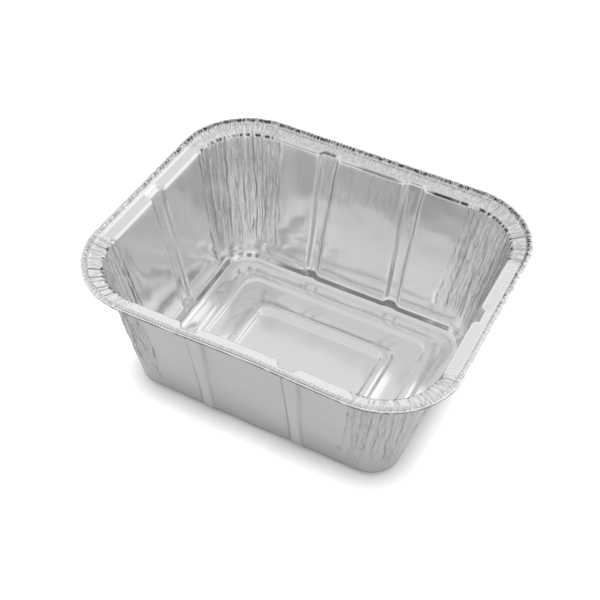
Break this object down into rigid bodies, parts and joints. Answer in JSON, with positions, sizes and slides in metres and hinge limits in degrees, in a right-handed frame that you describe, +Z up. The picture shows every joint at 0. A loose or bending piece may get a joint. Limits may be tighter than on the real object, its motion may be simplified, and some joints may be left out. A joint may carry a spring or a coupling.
{
  "type": "foil drip pan",
  "caption": "Disposable aluminium foil drip pan: deep tapered tray with pleated round corners, ribbed walls, a ridged floor and a flat flange with a rolled edge.",
  "frame": {"origin": "middle of the underside of the floor, on the surface the pan stands on", "axes": "+X along the long side, +Y along the short side, +Z up through the open mouth"},
  "size_m": [0.1524, 0.127, 0.0635],
  "materials": {
    "foil": "bright crinkled foil"
  },
  "bodies": {
    "root": {"foil_pan": "foil"}
  },
  "joints": []
}
